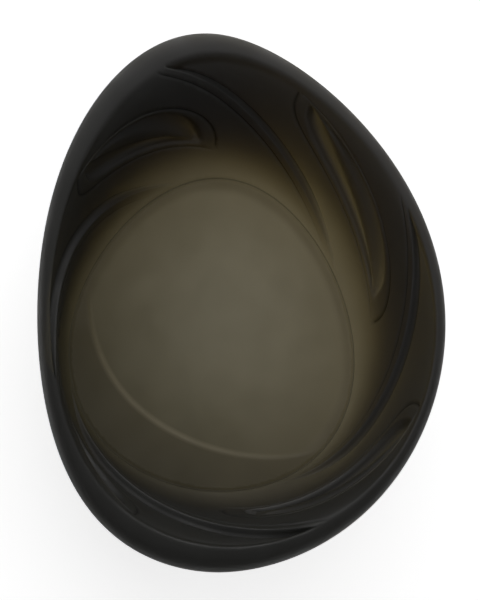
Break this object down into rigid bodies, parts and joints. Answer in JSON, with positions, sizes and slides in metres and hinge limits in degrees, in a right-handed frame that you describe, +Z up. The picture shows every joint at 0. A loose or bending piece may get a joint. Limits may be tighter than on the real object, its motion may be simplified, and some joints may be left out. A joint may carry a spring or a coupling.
{
  "type": "serving bowl",
  "caption": "Egg-shaped serving bowl in one piece, with a rounded lip, steep carved walls, a smooth pool in the bottom and a flat foot.",
  "frame": {"origin": "on the surface that the bowl stands on, under the middle of its box", "axes": "+Z up, +Y along the length towards the narrow end, +X towards the more rounded side"},
  "size_m": [0.2863, 0.38, 0.095],
  "materials": {
    "body": "satin"
  },
  "bodies": {
    "root": {"bowl": "body"}
  },
  "joints": []
}
